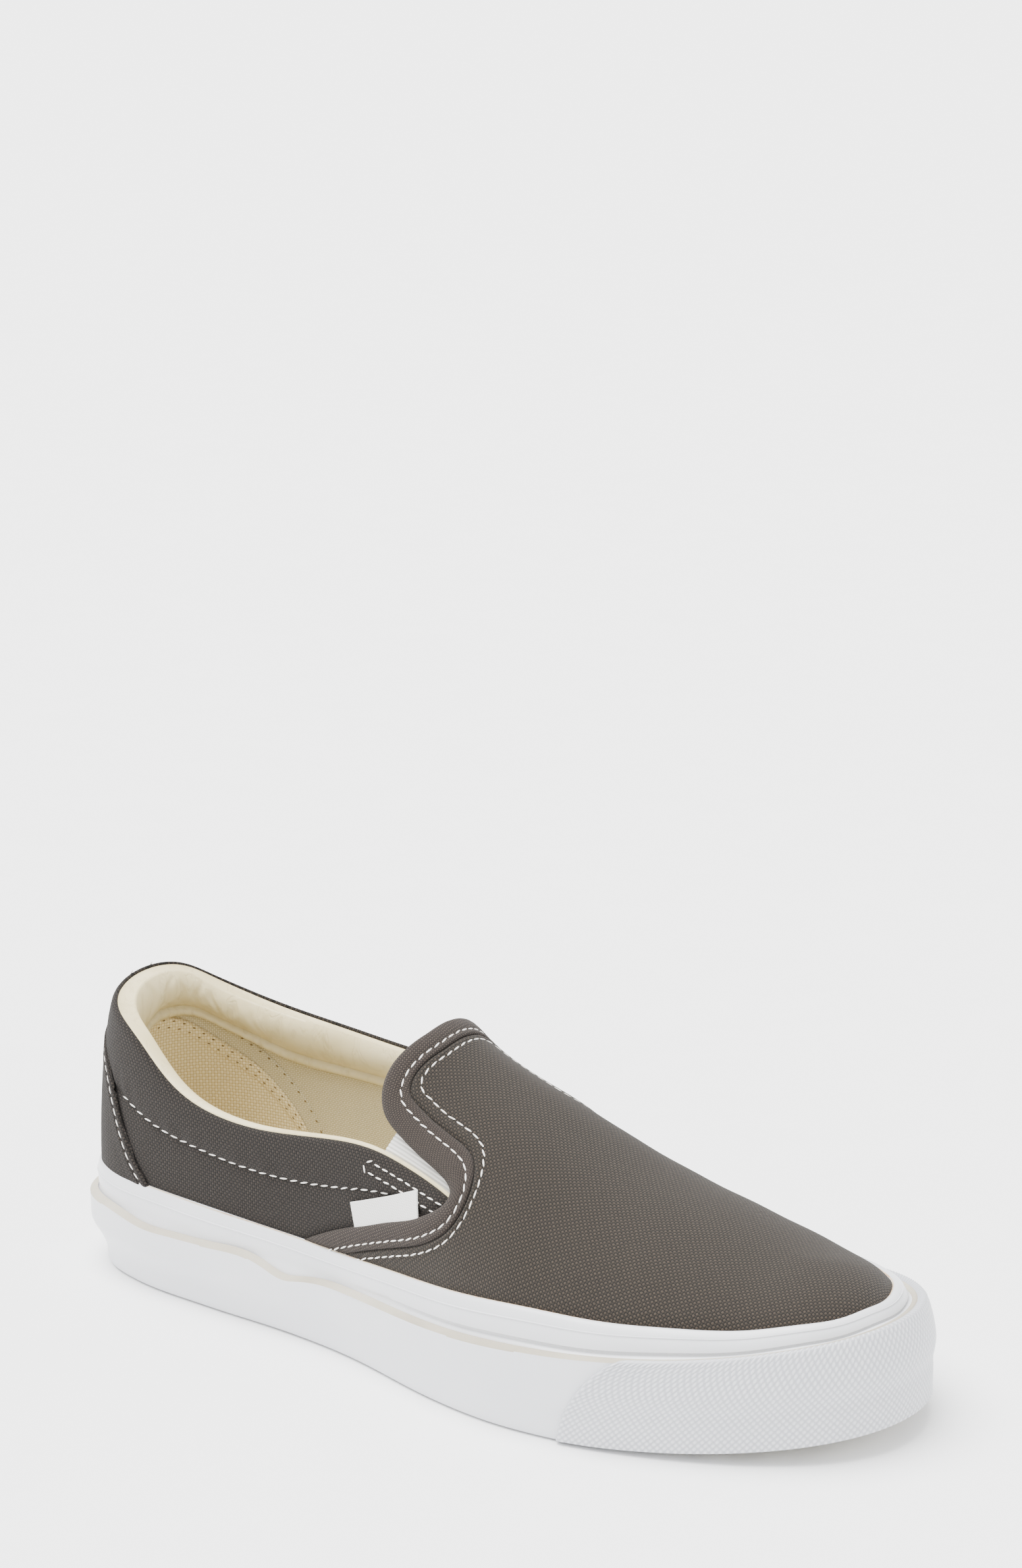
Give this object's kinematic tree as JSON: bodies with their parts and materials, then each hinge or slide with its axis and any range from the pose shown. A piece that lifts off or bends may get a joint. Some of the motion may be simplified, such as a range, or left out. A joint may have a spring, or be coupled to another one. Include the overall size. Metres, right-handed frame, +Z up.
{
  "type": "slip-on sneaker",
  "caption": "Low slip-on canvas sneaker with elastic gores, padded collar and a wrapped rubber sole, for the right foot.",
  "frame": {"origin": "bottom centre of the shoe, on the floor under the middle of its box", "axes": "+X to the toe, +Y to the inner side of the foot, +Z up"},
  "size_m": [0.2816, 0.1042, 0.089],
  "materials": {
    "canvas": "heavy basket-weave canvas, matt",
    "binding": "folded canvas edge, stitched with white thread",
    "counter": "folded canvas panel, stitched with white thread",
    "collar_lining": "smooth cream lining over foam, soft creases",
    "elastic": "ribbed white elastic",
    "label": "bare folded tape",
    "wall_rubber": "satin white rubber with a yellowish cut edge",
    "tape_rubber": "glossy white rubber with a fine raised line",
    "bumper_rubber": "white rubber with a small raised texture",
    "sole_rubber": "matt off-white rubber",
    "footbed": "cream cloth over foam"
  },
  "bodies": {
    "root": {"upper": "canvas", "vamp_binding": "binding", "heel_counter": "counter", "collar_padding": "collar_lining", "gore_lateral": "elastic", "gore_medial": "elastic", "side_tag": "label", "lower_foxing": "wall_rubber", "upper_foxing": "tape_rubber", "toe_bumper": "bumper_rubber", "outsole": "sole_rubber", "midsole": "sole_rubber", "insole": "footbed"}
  },
  "joints": []
}
